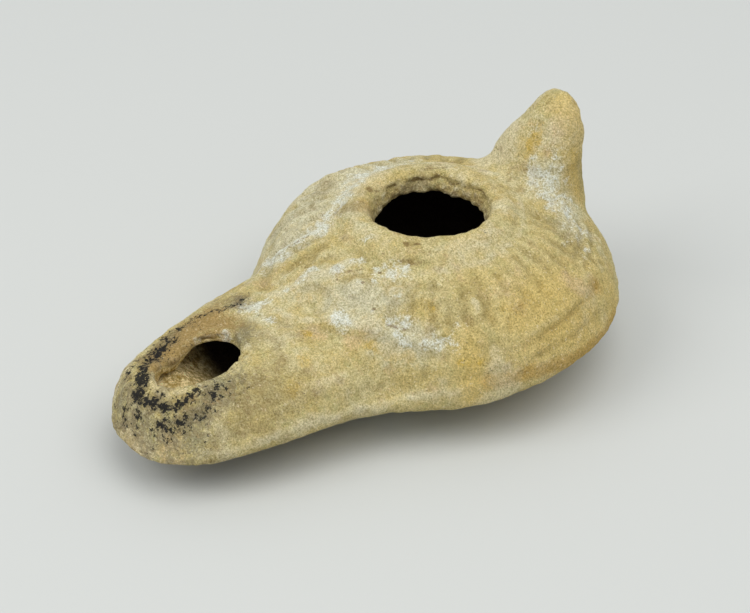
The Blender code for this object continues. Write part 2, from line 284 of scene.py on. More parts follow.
# %% Shape the rim of the wick hole
WORN_LIP = (-6.4, -36.6)
from_wick = points[:, :2] - WICK
wick_gap = oval_gap(points, WICK, WICK_HALF)
facing_far = -(from_wick @ NEAR_WAY) / np.maximum(np.linalg.norm(from_wick, axis=1), ZERO_GUARD)
worn_lip = bump(plan_gap(points, WORN_LIP), 3.2)
thin = smooth_step(-0.1, 0.4, facing_far) * (1.0 - smooth_step(1.5, 2.1, wick_gap)) * (1.0 - worn_lip) ** 2
points[:, 2] += 3.2 * thin * band(height, 8.0, 12.0, 12.5, 17.0)
ring = (1.0 - smooth_step(1.15, 2.0, wick_gap)) * smooth_step(9.0, 12.0, height)
points[:, :2] -= 1.1 * ring[:, None] * NEAR_WAY
points[:, :2] += 0.07 * (ring * (from_wick @ ACROSS_WAY))[:, None] * ACROSS_WAY
points[:, 2] += 0.4 * ring
points[:, 2] -= 2.2 * worn_lip * smooth_step(11.5, 15.0, height)
settled = (1.0 - outside) * (1.0 - smooth_step(-36.0, -24.0, points[:, 1]))
points[:, 2] += 5.2 * settled * (1.0 - smooth_step(6.5, 10.0, height))
write_points(mesh, points)
print("eased, highest point:", round(float(points[:, 2].max()), 1), "mm")

# %% [markdown]
# ## Where each point lies
# From here on the eased net is the base, and all relief is one number per point: how far it will
# rise or sink along its own outward direction. The numbers are added up first and used once, at the
# end, so the strokes don't disturb each other. Angles are counted from the nozzle.

# %% Measures for each point
base = points.copy()
normals = read_normals(mesh)
base_z = base[:, 2]
on_top = outside * smooth_step(0.05, 0.35, normals[:, 2]) * smooth_step(11.0, 14.0, base_z)
plan_r = plan_gap(base, FILL)
body_r = plan_gap(base, BODY_CENTRE)
turn = np.degrees(np.arctan2(base[:, 0] - BODY_CENTRE[0], BODY_CENTRE[1] - base[:, 1]))
fill_turn = np.degrees(np.arctan2(base[:, 0] - FILL[0], FILL[1] - base[:, 1]))
far_facing = -((base[:, :2] - FILL) @ NEAR_WAY) / FILL_RADIUS
seeded = np.random.default_rng(7)
relief = np.zeros(count)


def lumps(size, shift=(0.0, 0.0, 0.0)):
    """Soft noise of about -1 to 1 with features of the given size in millimetres."""
    moved = Vector(shift)
    return np.array([noise.noise(Vector(p) / size + moved) for p in base])


print("share of the net on top:", round(float(on_top.mean()), 2))

# %% [markdown]
# ## Strokes
# The upper mould was carved with a wooden or metal tool, so the pattern is made of strokes. Each
# stroke here is a line through a few places on the lamp, and a point of the skin sinks or rises by
# how near it lies to that line. A worn mould gives soft strokes, so every edge is rounded.


# %% Strokes seen from above
def fine_line(places, parts=4):
    """More places along a smooth curve through the given ones."""
    way = np.array(places, dtype=float)
    padded = np.vstack([2 * way[0] - way[1], way, 2 * way[-1] - way[-2]])
    result = [way[0]]
    for index in range(len(way) - 1):
        a, b, c, d = padded[index:index + 4]
        for step in range(1, parts + 1):
            t = step / parts
            result.append(0.5 * (2 * b + (c - a) * t + (2 * a - 5 * b + 4 * c - d) * t ** 2
                                 + (3 * b - a - 3 * c + d) * t ** 3))
    return np.array(result)


FAR_AWAY = 99.0


def along_line(places, reach=5.0):
    """Each point's distance from a line in plan, and the share of the line's length where it lies."""
    way = fine_line(places)
    distance = np.full(count, FAR_AWAY)
    share = np.zeros(count)
    low = way.min(axis=0) - reach
    high = way.max(axis=0) + reach
    plan = base[:, :2]
    near = np.all((plan > low) & (plan < high), axis=1)
    spots = plan[near]
    best = np.full(len(spots), FAR_AWAY)
    best_share = np.zeros(len(spots))
    for index in range(len(way) - 1):
        piece = way[index + 1] - way[index]
        t = np.clip(((spots - way[index]) @ piece) / max(piece @ piece, 1e-9), 0.0, 1.0)
        gap = np.linalg.norm(spots - way[index] - t[:, None] * piece, axis=1)
        closer = gap < best
        best[closer] = gap[closer]
        best_share[closer] = (index + t[closer]) / (len(way) - 1)
    distance[near] = best
    share[near] = best_share
    return distance, share


def stroke(places, width, height, fade=0.15):
    """Height field of one stroke that thins out at both ends."""
    distance, share = along_line(places)
    ends = band(share, 0.0, fade, 1.0 - fade, 1.0)
    return height * bump(distance, width) * ends


print("places along a line of three:", len(fine_line([(0, 0), (1, 1), (2, 0)])))

# %% [markdown]
# ## Strokes on the flank
# On the steep flank a small step in plan is a long way over the clay, so a stroke drawn from above
# would smear. There the line gets a height too, and the distance to it is measured in space.


# %% Strokes on the flank
def flank_stroke(places, width, height):
    """Height field of one stroke on a steep flank."""
    way = np.array(places, dtype=float)
    nearest = np.full(count, FAR_AWAY)
    position = np.zeros(count)
    for index in range(len(way) - 1):
        piece = way[index + 1] - way[index]
        t = np.clip(((base - way[index]) @ piece) / (piece @ piece), 0.0, 1.0)
        gap = np.linalg.norm(base - way[index] - t[:, None] * piece, axis=1)
        position = np.where(gap < nearest, (index + t) / (len(way) - 1), position)
        nearest = np.minimum(nearest, gap)
    ends = band(position, 0.0, 0.12, 0.88, 1.0)
    return height * bump(nearest, width) * ends


# %% [markdown]
# ## Ribs on the shoulder
# Short grooves run outwards from the collar like rays. The carver of the mould set them by eye, so
# each has its own place, length and depth, and the far side kept them best. They lie in the same
# clay as everything round them, so they are sunk into the skin and not added as pieces. Broad noise
# wears some of them down more than others.

# %% Ribs on the shoulder
near_ribs = [33.4, 41.0, 49.2, 55.8, 62.6, 71.1, 81.3, 88.5, 97.0, 105.5, 114.0, 123.0, 131.5, 140.0]
far_ribs = [-16.0, -24.5, -33.0, -41.0, -49.0, -57.5, -66.0, -74.0, -82.5, -91.0, -99.5]
far_ribs += [-108.0, -116.5, -125.0, -133.5, -142.0]
RIB_START = 19.0
RIB_END = 27.0
RIB_HALF_WIDTH = 0.75
for angle in near_ribs + far_ribs:
    across = np.abs((turn - angle + 180.0) % 360.0 - 180.0) * np.radians(1.0) * body_r
    start = RIB_START + seeded.uniform(-0.5, 0.8)
    end = RIB_END + seeded.uniform(-0.8, 0.8)
    depth = seeded.uniform(0.4, 0.75) if angle > 0 else seeded.uniform(0.7, 0.95)
    reach = band(plan_r, start - 1.2, start + 1.2, end - 1.5, end + 1.5)
    relief -= depth * bump(across, RIB_HALF_WIDTH) * reach
relief *= 0.5 + 0.6 * smooth_step(-0.35, 0.35, lumps(5.0))
print("ribs cut:", len(near_ribs + far_ribs))

# %% [markdown]
# ## Lines, scrolls and knobs in the panel
# A groove with a low ridge inside it bounds the shoulder. Between it and the nozzle the mould had
# two scrolls and a row of low round knobs, now so worn that only their shadows tell them from the
# lumps of the clay. Each row below is one stroke: its places, its half width, how far it rises or
# sinks, and how much of its length fades out.

# %% Lines and scrolls between the ribs and the nozzle
panel_edge = [(-3.0, -19.4), (1.7, -18.6), (5.7, -16.3), (9.3, -13.4), (12.9, -11.1), (15.2, -9.1)]
panel_edge += [(18.6, -6.8), (22.9, -3.2), (25.7, -0.2), (28.0, 3.6), (29.8, 8.0), (30.8, 13.0)]
panel_edge += [(30.9, 18.0), (30.0, 23.5), (27.8, 28.8), (24.6, 33.4)]
INNER_SHARE = 0.945
panel_ridge = [(x * INNER_SHARE, (y - 16.7) * INNER_SHARE + 16.7) for x, y in panel_edge]
far_edge = [(-4.0, -16.0), (-9.5, -14.5), (-15.2, -9.1), (-20.0, -5.0), (-25.7, -0.2), (-29.4, 7.0)]
far_edge += [(-30.9, 15.5), (-30.0, 23.5), (-26.5, 31.0)]
scroll = [(-2.2, -13.6), (-0.9, -11.2), (2.0, -10.0), (4.4, -10.5), (5.0, -12.6), (3.2, -14.4)]
panel_strokes = [
    (panel_edge[:9], 0.6, -0.4, 0.08),
    (panel_edge[7:], 0.9, -0.12, 0.12),
    (panel_ridge[:9], 1.0, 0.22, 0.08),
    (far_edge, 1.0, -0.4, 0.1),
    ([(14.8, -6.3), (16.7, -5.0), (19.7, -3.3), (22.6, -1.4), (25.0, 0.9)], 0.6, -0.4, 0.2),
    ([(2.3, -1.6), (1.1, -4.6), (0.0, -7.5), (-2.1, -10.4), (-3.2, -13.2)], 1.0, 0.45, 0.15),
    ([(-3.2, -13.2), (-6.0, -15.6), (-9.0, -16.2)], 0.9, 0.35, 0.2),
    (scroll, 0.7, -0.5, 0.15),
    ([(-0.5, -13.3), (1.2, -12.1), (2.8, -12.4)], 0.7, 0.35, 0.15),
    ([(8.0, -9.6), (9.8, -6.9), (11.4, -5.4)], 0.6, -0.35, 0.15),
    ([(-2.9, -4.2), (-3.1, -7.4)], 0.7, -0.45, 0.15),
    ([(-5.4, -5.6), (-5.0, -9.4)], 0.8, -0.4, 0.15),
    ([(11.8, 30.8), (15.7, 32.1), (19.3, 32.5), (23.5, 32.4)], 0.6, -0.35, 0.15),
    ([(12.4, 33.8), (15.9, 34.8), (20.4, 34.7), (23.9, 34.6)], 0.6, -0.35, 0.15),
]
for radius in (24.2, 26.2, 28.2):
    bends = np.radians([118, 130, 142, 154])
    arc = [(radius * math.sin(bend) * 0.98, 16.7 - radius * math.cos(bend)) for bend in bends]
    panel_strokes.append((arc, 0.45, -0.45, 0.2))
for places, width, rise, fade in panel_strokes:
    relief += stroke(places, width, rise, fade)
print("strokes in the panel:", len(panel_strokes))


# %% Knobs
def boss(x, y, radius, rise):
    """A low round knob with a groove round it."""
    gap = plan_gap(base, (x, y))
    return rise * (1.0 - smooth_step(0.4 * radius, radius, gap)) - rise * bump(gap - radius - 0.2, 0.5)


knobs = [(6.4, -6.2, 2.1, 0.4), (12.5, -2.3, 1.8, 0.4), (17.2, 1.8, 1.6, 0.3), (22.5, 6.1, 2.1, 0.3)]
knobs += [(26.0, 13.4, 2.6, 0.18)]
for x, y, radius, rise in knobs:
    relief += boss(x, y, radius, rise)
relief *= on_top
print("knobs:", len(knobs))

# %% [markdown]
# ## Ridges round the flank
# Below the shoulder the seam of the two halves was wiped flat with a wet finger, which left a low
# ridge over it and a shallow hollow over that. The far side gets the same ridge, mirrored.

# %% Ridges and hollows on the flank
side_ridge = [(29.8, 10.7, 19.1), (30.1, 13.4, 19.4), (29.8, 17.9, 20.0), (29.2, 21.9, 20.2)]
side_ridge += [(28.2, 25.3, 20.5), (27.0, 28.3, 20.6)]
side_groove = [(30.7, 13.3, 18.4), (30.6, 17.9, 18.8), (29.9, 22.5, 19.1), (28.6, 26.9, 19.2)]
side_groove += [(27.1, 30.7, 19.0), (25.7, 33.5, 18.8)]
nozzle_hollow = [(11.6, -42.6, 10.9), (14.0, -34.8, 12.7), (15.7, -29.1, 13.1), (16.9, -21.9, 13.9)]
nozzle_hollow += [(18.4, -15.0, 13.9), (22.5, -8.0, 14.2)]
nozzle_edge = [(8.5, -46.5, 8.8), (10.2, -45.3, 9.0), (13.5, -40.0, 9.7), (15.8, -33.5, 10.3)]
nozzle_edge += [(17.5, -26.6, 10.6), (18.9, -19.3, 10.6), (20.8, -12.3, 10.6), (24.5, -4.5, 11.8)]
nozzle_edge += [(28.4, -0.2, 12.7), (30.8, 5.2, 13.5), (32.2, 11.8, 14.0), (32.6, 19.3, 13.8)]
nozzle_edge += [(31.4, 27.4, 13.3), (28.5, 33.0, 13.0)]
mirrored_edge = [(-x, y, z) for x, y, z in nozzle_edge]
body_hollow = [(32.3, 11.0, 15.6), (32.3, 19.4, 16.2), (31.5, 24.3, 16.2), (28.8, 31.5, 16.0)]
flank_strokes = [
    (side_ridge, 0.8, 0.28),
    (side_groove, 0.7, -0.3),
    (nozzle_hollow, 1.7, -0.15),
    (nozzle_edge, 0.9, 0.2),
    (mirrored_edge, 1.0, 0.25),
    (body_hollow, 0.7, -0.45),
]
for places, width, rise in flank_strokes:
    relief += flank_stroke(places, width, rise)
print("strokes on the flank:", len(flank_strokes))

# %% [markdown]
# ## Collar, its groove, and a crack
# A low collar rings the filling hole. Its outer groove is only deep in front, and a second short
# groove lies on the near side. Inside the far rim the wall cracked while it dried: a thin broken
# line that noise moves up and down and interrupts.

# %% Collar, groove and crack
COLLAR_CREST = 13.4
INNER_GROOVE = 15.5
OUTER_GROOVE = 16.9
CRACK_HEIGHT = 28.3
front_arc = bump(turn - 5.0, 28.0)
near_arc = bump(fill_turn - 38.0, 20.0)
relief += on_top * (0.18 - 0.45 * front_arc) * bump(plan_r - OUTER_GROOVE, 0.8)
relief -= on_top * 0.35 * near_arc * bump(plan_r - INNER_GROOVE, 0.6)
relief += on_top * 0.15 * bump(plan_r - COLLAR_CREST, 1.6)
relief -= on_top * 0.3 * bump(plan_gap(base, (7.6, 4.9)), 0.8)
wander = 0.3 * np.sin(np.radians(turn) * 5.0) + 0.9 * lumps(2.2)
crack = bump(base_z - CRACK_HEIGHT - wander, 0.35)
crack *= (plan_r < FILL_RADIUS + 2.2) * (base_z > 26.0) * outside
crack *= smooth_step(0.1, 0.6, far_facing)
crack *= 0.45 + 0.55 * smooth_step(-0.25, 0.25, lumps(3.1, (4.0, 9.0, 2.0)))
relief -= 0.5 * crack
print("points in the crack:", int((crack > 0.3).sum()))

# %% [markdown]
# ## Lumps and pits
# Pressed clay is never even: the mould leaves broad lumps, and the paste has grit and holes. Noise
# of three sizes makes the lumps. The far wall of the filling hole was torn by the knife, so it gets
# more of them. A few hundred small pits are placed at random with a fixed seed, so the lamp comes
# out the same every time.

# %% Lumps
broad = lumps(7.0, (17.3, 5.1, 9.7))
middle = lumps(2.6, (34.6, 10.2, 19.4))
fine = lumps(1.1, (51.9, 15.3, 29.1))
rim_wear = bump(plan_r - 10.8, 1.2) * (base_z > 24.0)
relief += outside * (0.2 * broad + 0.16 * middle + 0.13 * fine)
relief += rim_wear * (0.08 * middle + 0.12 * fine)
far_wall = (plan_r < FILL_RADIUS + 1.5) * (base_z > 25.0) * (1.0 - smooth_step(28.0, 29.0, base_z))
far_wall = far_wall * smooth_step(0.1, 0.5, far_facing)
relief += far_wall * (0.2 * middle + 0.22 * fine)
relief += (1.0 - outside) * (0.2 * broad + 0.15 * middle)
print("lumps reach:", round(float(np.abs(broad).max()), 2))

# %% Pits
PIT_COUNT = 700
PIT_REACH = 2.0
shown = np.flatnonzero(outside > 0.9)
pit_places = base[seeded.choice(shown, PIT_COUNT, replace=False)]
for place in pit_places:
    width = seeded.uniform(0.35, 0.7)
    near = np.flatnonzero(np.all(np.abs(base - place) < PIT_REACH, axis=1))
    gap = np.linalg.norm(base[near] - place, axis=1)
    relief[near] -= seeded.uniform(0.12, 0.35) * bump(gap, width)
print("pits:", len(pit_places))

# %% [markdown]
# ## Dish and broken lip of the wick hole
# Heat made the clay round the wick brittle. On the far side it has flaked into a shallow dish, the
# lip has crumbled, and one chip is missing beside the hole. The dish is an oval field that fades
# out towards the near side, and noise makes its floor rough.

# %% Dish and broken lip
DISH_CENTRE = (-2.2, -33.5)
DISH_HALF = (11.5, 12.5)
CHIP = (-4.6, -29.8)
wick_r = oval_gap(base, WICK, WICK_HALF)
dish = 1.0 - smooth_step(0.75, 1.02, oval_gap(base, DISH_CENTRE, DISH_HALF))
dish *= smooth_step(-4.0, 3.0, -base[:, 0] + 0.3 * (base[:, 1] - WICK[1]))
dish *= smooth_step(1.15, 1.7, wick_r)
relief -= on_top * dish * (0.7 + 0.5 * middle + 0.4 * fine)
near_lip = 1.0 - smooth_step(1.15, 1.7, wick_r)
ragged = 0.15 + 0.85 * smooth_step(-2.0, 2.0, -(base[:, :2] - WICK) @ NEAR_WAY)
relief += on_top * near_lip * ragged * (0.65 * fine + 0.35 * middle)
relief -= 0.9 * bump(plan_gap(base, CHIP), 1.1) * outside
print("points in the dish:", int((dish > 0.5).sum()))

# %% [markdown]
# ## Handle and other uneven places
# The handle was pinched up between finger and thumb, so it has a lump on one side, a dent on the
# other and a blunt, chipped top. Two broad swellings on the nozzle and the far shoulder come from
# the mould. Each is a soft ball that pushes the skin out or in.


# %% Swellings and dents
def swell(place, width, height):
    """Pushes the skin out, or in, round one place."""
    return height * bump(np.linalg.norm(base - np.array(place), axis=1), width) * outside


swellings = [
    ((-6.9, 38.1, 30.7), 4.5, 1.3),
    ((-12.5, -42.0, 12.0), 5.0, 0.5),
    ((-22.5, 11.0, 24.0), 7.0, 1.0),
    ((5.0, 45.0, 37.0), 3.5, 1.0),
    ((8.0, 44.0, 28.0), 3.8, -0.8),
    ((3.4, 45.9, 40.6), 0.8, -0.5),
]
for place, width, rise in swellings:
    relief += swell(place, width, rise)
print("swellings and dents:", len(swellings))

# %% [markdown]
# ## Move the skin
# All relief is known now, so every point moves once along its outward direction. The underside that
# the lamp stands on stays flat, and nothing may sink below the floor.

# %% Move the skin
FOOT_TOP = 0.6
carved = base + normals * relief[:, None]
stands_on = (base_z < FOOT_TOP) & (normals[:, 2] < -0.5)
carved[:, 2] = np.where(stands_on, base_z, carved[:, 2])
carved[:, 2] = np.maximum(carved[:, 2], 0.0)
write_points(mesh, carved)
for face in mesh.polygons:
    face.use_smooth = True
print("relief from", round(float(relief.min()), 2), "to", round(float(relief.max()), 2), "mm")

# %% [markdown]
# ## Where the colours lie
# Lime from the soil, yellow earth, brown scorching and soot each have their own map: one value per
# point of the skin. A map is a sum of soft patches at named places. The material breaks up their
# edges with noise afterwards, so that no patch keeps a drawn outline.


# %% Maps made of soft patches
def patches(spots):
    """Strength of a stain at each point. A spot is x, y, half width, half length, turn, strength."""
    result = np.zeros(count)
    for x, y, half_x, half_y, degrees, strength in spots:
        angle = math.radians(degrees)
        dx = base[:, 0] - x
        dy = base[:, 1] - y
        u = (dx * math.cos(angle) + dy * math.sin(angle)) / half_x
        v = (-dx * math.sin(angle) + dy * math.cos(angle)) / half_y
        result = np.maximum(result, strength * np.exp(-(u * u + v * v) * 0.8))
    return result * outside


def keep_map(name, values):
    """Stores a map on the mesh, where the material can read it."""
    layer = mesh.attributes.new(name, "FLOAT", "POINT")
    layer.data.foreach_set("value", np.clip(values, 0.0, 1.0).astype(np.float32))
    print("map", name, "covers", round(100.0 * float((values > 0.3).mean()), 1), "percent")


# %% [markdown]
# ## Lime
# Water in the soil left a white crust in every hollow that held it: round the collar, along the
# far shoulder, in the panel and at the root of the handle. A thin grey-white haze lies round it.

# %% Lime crust and haze
lime_spots = [(-20, 1.5, 3, 7, 20, 0.5), (-10.2, -1.5, 2.5, 3, 20, 0.9), (-24, 20, 4, 9, 0, 0.5)]
lime_spots += [(-5.1, -18.2, 2, 1.5, 0, 1.0), (2.2, -3.0, 2.0, 1.3, 45, 0.95), (1.1, -5.8, 1.6, 1.6, 0, 0.95)]
lime_spots += [(10.2, 1.6, 2.0, 1.4, 40, 0.9), (6.5, -6.0, 1.6, 1.6, 0, 0.7), (12.8, -2.3, 1.4, 1.4, 0, 0.6)]
lime_spots += [(0.5, 0.5, 1.6, 1.6, 0, 0.8), (-0.6, -19.4, 2.2, 1.8, 0, 0.8), (-3.9, -13.4, 1, 1, 0, 0.8)]
lime_spots += [(-3, -9, 2, 3, -30, 0.8), (8.5, -0.5, 1.8, 4, -55, 0.9), (8.6, -11.4, 2.2, 2.0, 30, 1.0)]
lime_spots += [(7.8, -3.4, 0.8, 0.8, 0, 0.9), (12.0, -6.7, 0.7, 0.7, 0, 0.9), (16.3, -4.5, 3.2, 1.4, 40, 0.9)]
lime_spots += [(18.6, -5.6, 2.2, 1.0, 40, 0.95), (23, -1.5, 4, 1.2, 48, 0.8), (-5.0, -18.8, 2.4, 3, 0, 1.0)]
lime_spots += [(-7, -20.5, 1.6, 2, 0, 0.8), (15.5, 33.6, 1.5, 3, 0, 0.5), (14, -14, 3, 1.6, 35, 0.45)]
lime_spots += [(4.5, 35.5, 2.2, 2.2, 0, 0.95), (9, 37, 6, 5, 20, 0.8), (15, 37, 5, 3.5, -20, 0.7)]
lime_spots += [(20, 34, 3, 5, -40, 0.5), (24, 2, 4, 1.5, 60, 0.5), (3, -27, 4, 2, 0, 0.45)]
lime_spots += [(-17, 24, 5, 6, 0, 0.55), (29, 4, 4, 1.6, 50, 0.25), (-3, -27, 1.6, 1.0, 20, 0.9)]
lime_spots += [(-5.6, -31, 0.8, 1.6, 10, 0.8), (28, 10, 2.5, 6, 0, 0.2), (0.5, 38.3, 1.2, 1.5, 0, 0.7)]
lime_line = [(-16.0, -10.5), (-13.0, -7.5), (-11.8, -3.9), (-10.8, -0.5), (-12.2, 4.5), (-14.5, 8.5)]
lime_line += [(-17.5, 14.0), (-17.0, 20.0)]
lip_line = [(-5.9, -31.6), (-5.0, -29.8), (-3.6, -28.0), (-2.2, -27.2)]
haze_spots = [(-18, 0, 8, 14, 20, 0.9), (-20, 18, 8, 12, 0, 0.7), (2, -9, 14, 6, 20, 0.6)]
haze_spots += [(10, 37, 11, 6, 0, 0.7), (-4, -19, 10, 5, 0, 0.5), (-8, 2, 8, 6, 20, 0.5)]
haze_spots += [(9, -7, 4.5, 9, -55, 1.0), (18, -5.5, 3, 6, -50, 1.0), (-14, -5, 5, 8, 25, 1.0)]
WIDE_REACH = 9.0
lime_band = 0.8 * bump(along_line(lime_line, WIDE_REACH)[0], 3.4) * on_top
lip_lime = bump(along_line(lip_line)[0], 0.6) * on_top
keep_map("haze", patches(haze_spots))
keep_map("lime", np.maximum(np.maximum(patches(lime_spots), lime_band), lip_lime))

# %% [markdown]
# ## Soot
# The flame blackened the tip of the nozzle, and centuries have rubbed off most of it. What is left
# follows a few broken lines round the wick hole. Each line here has a half width and a strength,
# and a wider, fainter copy of it gives the smoky fringe.

# %% Soot
soot_lines = [
    (1.9, 0.82, [(-10.4, -34.8), (-9.4, -36.9), (-7.6, -40.4), (-5.4, -42.8), (-3.4, -43.9)]),
    (1.2, 0.8, [(-2.8, -44.4), (-0.7, -45.5), (1.0, -45.2), (3.1, -44.4), (5.0, -43.2), (5.6, -41.4),
                (5.3, -39.0)]),
    (1.1, 0.66, [(-2.0, -46.0), (0.9, -47.3)]),
    (1.3, 0.7, [(5.2, -46.0), (7.0, -44.9), (8.2, -43.0)]),
    (0.6, 0.7, [(0.7, -43.6), (1.8, -43.2)]),
    (1.0, 0.55, [(-9.4, -42.0), (-8.0, -43.6)]),
    (2.0, 0.5, [(7.4, -34.0), (7.9, -37.3), (9.8, -40.4)]),
    (2.4, 0.36, [(8.6, -41.0), (5.0, -47.4)]),
    (1.0, 0.58, [(-12.4, -34.0), (-11.7, -31.1), (-11.2, -27.2), (-10.5, -24.7), (-9.3, -23.2),
                 (-8.5, -20.6), (-9.0, -18.7)]),
    (0.7, 0.7, [(-4.6, -31.0), (-3.4, -29.0), (-2.4, -28.2)]),
    (1.0, 0.5, [(-3.4, -47.6), (-1.5, -48.6)]),
]
FRINGE_WIDTH = 2.2
FRINGE_STRENGTH = 0.55
soot = np.zeros(count)
for width, strength, line in soot_lines:
    distance = along_line(line, WIDE_REACH)[0]
    soot = np.maximum(soot, strength * bump(distance, width))
    soot = np.maximum(soot, FRINGE_STRENGTH * strength * bump(distance, width * FRINGE_WIDTH))
keep_map("soot", soot * outside)

# %% [markdown]
# ## Scorching and grime
# Round the soot the clay is scorched brown and grey, and burnt oil has soaked into the dish. A thin
# brown grime lies wherever hands, smoke or soil left it. A few bare, cream-coloured chips show where
# the crust has come off since.

# %% Scorching, grime and chips
brown_spots = [(-9.0, -29.0, 4.2, 8, 10, 1.0), (-7.5, -35, 4.0, 6, 0, 1.0), (-6, -25.5, 4, 3, 0, 0.9)]
brown_spots += [(-4, -30, 2.5, 4, 20, 1.0), (-5.2, -40.6, 2.0, 2.0, 0, 0.95), (0, -47, 13, 5, 0, 0.3)]
brown_spots += [(6, -40, 3, 5, 20, 0.5), (-12, -44, 5, 5, 0, 0.5), (10, -36, 6, 12, 0, 0.35)]
grey_spots = [(8, -36, 4, 7, 0, 1.0), (9, -42, 4, 5, 0, 0.9), (2, -47.5, 5, 2.5, 0, 0.8)]
grey_spots += [(-1, -25.0, 4, 2.6, -30, 0.9), (-9, -20.5, 4, 3, 0, 0.9), (8, -35, 3, 7, 0, 0.8)]
grey_spots += [(6, -45, 7, 4, 20, 0.85), (-5, -47, 6, 4, 0, 0.75), (11, -40, 3, 6, 0, 0.5)]
grey_spots += [(-10, -39, 3, 6, 0, 0.7), (12, -27, 3, 5, 10, 0.4)]
grime_spots = [(-3, -45.5, 9, 5, 0, 0.8), (-8, -40, 4, 5, 0, 0.8), (8, -40, 5, 6, 0, 0.85)]
grime_spots += [(9, -32, 4, 6, 0, 0.7), (3, -26, 6, 3, 0, 0.6), (-21, 2, 3, 8, 25, 0.7)]
grime_spots += [(-25, 12, 3, 8, 15, 0.6), (-9, 4.5, 3, 5, 30, 0.8), (-10.5, 22, 5, 6, 0, 0.6)]
grime_spots += [(0, 28, 5, 3, 0, 0.6), (4, 32, 5, 4, 0, 0.5), (6, -23, 9, 6, 0, 0.6)]
grime_spots += [(-20, 6, 4, 6, 20, 0.8), (13, -38, 4, 6, 0, 0.6), (13, -29, 5, 9, 0, 0.9)]
grime_spots += [(12, 6, 4, 4, 0, 0.4), (-13, -14, 4, 4, 0, 0.5), (-11, -22, 4, 5, 0, 0.6)]
grime_spots += [(14, -34, 3, 8, 0, 0.5), (16, -22, 3, 6, 0, 0.35), (-12, -15, 4, 4, 0, 0.4)]
cream_spots = [(29.0, 5.9, 1.1, 1.1, 0, 0.8), (0.6, -42.9, 3.2, 0.9, 5, 1.0)]
cream_spots += [(-2.6, -42.0, 1.8, 1.0, -30, 0.9), (3.8, -40.8, 1.6, 0.7, 60, 0.9)]
keep_map("brown", patches(brown_spots))
keep_map("grey", patches(grey_spots))
keep_map("cream", patches(cream_spots))
keep_map("grime", patches(grime_spots))

# %% [markdown]
# ## Earth colours
# The bare clay isn't one colour. Yellow earth clings to the low flank and the handle, strong gold
# spots mark iron in the soil, and a pinker peach shows where the paste was fired harder. The widest
# edge and the groove under its ridge are painted a darker golden brown as painted shade, where the
# side turns from the light, and a few small spots share that colour.

# %% Ochre, gold, peach and the painted shade on the edge
ochre_spots = [(18, -1.5, 3, 2.5, 0, 0.6), (14, -25, 2.6, 3.5, 0, 0.6), (11, -20.5, 3, 2, 0, 0.5)]
ochre_spots += [(31, 22, 3, 16, 0, 0.8), (28, 2, 5, 4, 0, 0.8), (27, 20, 6, 14, 0, 0.8)]
ochre_spots += [(19, 12, 5, 8, 0, 0.5), (0, 27, 9, 3, 0, 0.5), (-12, 14, 3, 10, 0, 0.5)]
ochre_spots += [(12.5, 12, 2, 7, 0, 0.45), (27, 35, 6, 7, -35, 0.7), (24, 12, 5, 9, 0, 0.45)]
ochre_spots += [(3.5, 44, 4, 4, 0, 0.8), (7, 42.5, 3, 3, 0, 0.9), (22, 26, 6, 6, 0, 0.4)]
ochre_spots += [(8, -16, 3, 1.4, 20, 0.5), (15, -33, 2, 5, 0, 0.45), (1, -12.4, 2, 1.4, 0, 0.6)]
ochre_spots += [(6.5, -6.3, 2, 1.4, 0, 0.5)]
gold_spots = [(2.0, 37.6, 1.5, 1.6, 0, 0.95), (14.2, -25.5, 1.6, 2.0, 0, 0.55), (11, -21, 1.8, 1.4, 0, 0.5)]
gold_spots += [(15.6, -9.6, 1.8, 0.8, 38, 0.9), (17.8, -7.9, 2.4, 0.9, 38, 1.0)]
gold_spots += [(20.4, -6.0, 1.8, 0.8, 40, 0.9), (6.6, -17.0, 1.5, 0.9, 20, 0.85)]
gold_spots += [(18.4, 0.7, 1.0, 1.0, 0, 0.5), (-1.2, -12.9, 1.2, 1.0, 0, 0.7)]
gold_spots += [(1, -12.4, 1.4, 1.0, 0, 0.55), (-2.5, -14.5, 1.4, 1, 0, 0.5)]
gold_line = [(26.4, 0.0), (27.0, 0.8), (28.1, 2.5), (29.1, 4.3)]
peach_spots = [(8, -15.8, 3.5, 1.2, 32, 0.9), (12.5, -12.2, 2.5, 1.1, 36, 0.9), (-11.8, -14.2, 4, 3, 20, 0.7)]
peach_spots += [(26.2, 26.6, 1.8, 2.8, -20, 1.1), (22, 14, 3, 7, -10, 0.5), (3, -50, 9, 2.5, 0, 0.9)]
peach_spots += [(8.6, -46.6, 4, 3, 0, 0.9), (3, 40.5, 4, 4, 0, 0.6), (14, -20, 4, 3, 0, 0.4)]
peach_spots += [(18, 4, 5, 3, 40, 0.4)]
olive_spots = [(-7.7, 6.0, 2.5, 3.5, 30, 0.8), (-11, 9, 2, 3, 20, 0.5), (13.8, 16.0, 1.4, 2.2, 0, 0.6)]
olive_spots += [(6.0, 25.8, 1.5, 1.0, 0, 0.7), (26.1, 31.3, 1.3, 1.8, 0, 1.0), (26.2, 13.7, 1.4, 2.2, 0, 0.6)]
olive_spots += [(18.4, 17.6, 1.5, 3, 0, 0.5), (22.5, 28.4, 2, 2.5, 0, 0.6)]
golden_edge = [(26.5, -1.0, 13.6), (30.9, 5.6, 13.6), (32.4, 11.6, 13.6), (33.2, 16.2, 13.0)]
golden_edge += [(33.1, 21.1, 12.0), (32.1, 25.7, 12.1), (30.1, 31.2, 11.9), (27.9, 34.8, 12.5)]
golden_edge += [(25.6, 37.6, 13.3)]
low_flank = outside * (1.0 - smooth_step(9.0, 14.0, base_z))
gold_streak = 0.5 * bump(along_line(gold_line)[0], 0.6) * outside
# Painted shade along the widest edge and in the groove under the side ridge.
edge_shade = flank_stroke(golden_edge, 1.9, 1.0) + 0.5 * flank_stroke(side_groove, 0.9, 1.0)
keep_map("ochre", np.maximum(patches(ochre_spots), 0.35 * low_flank))
keep_map("gold", np.maximum(patches(gold_spots), gold_streak))
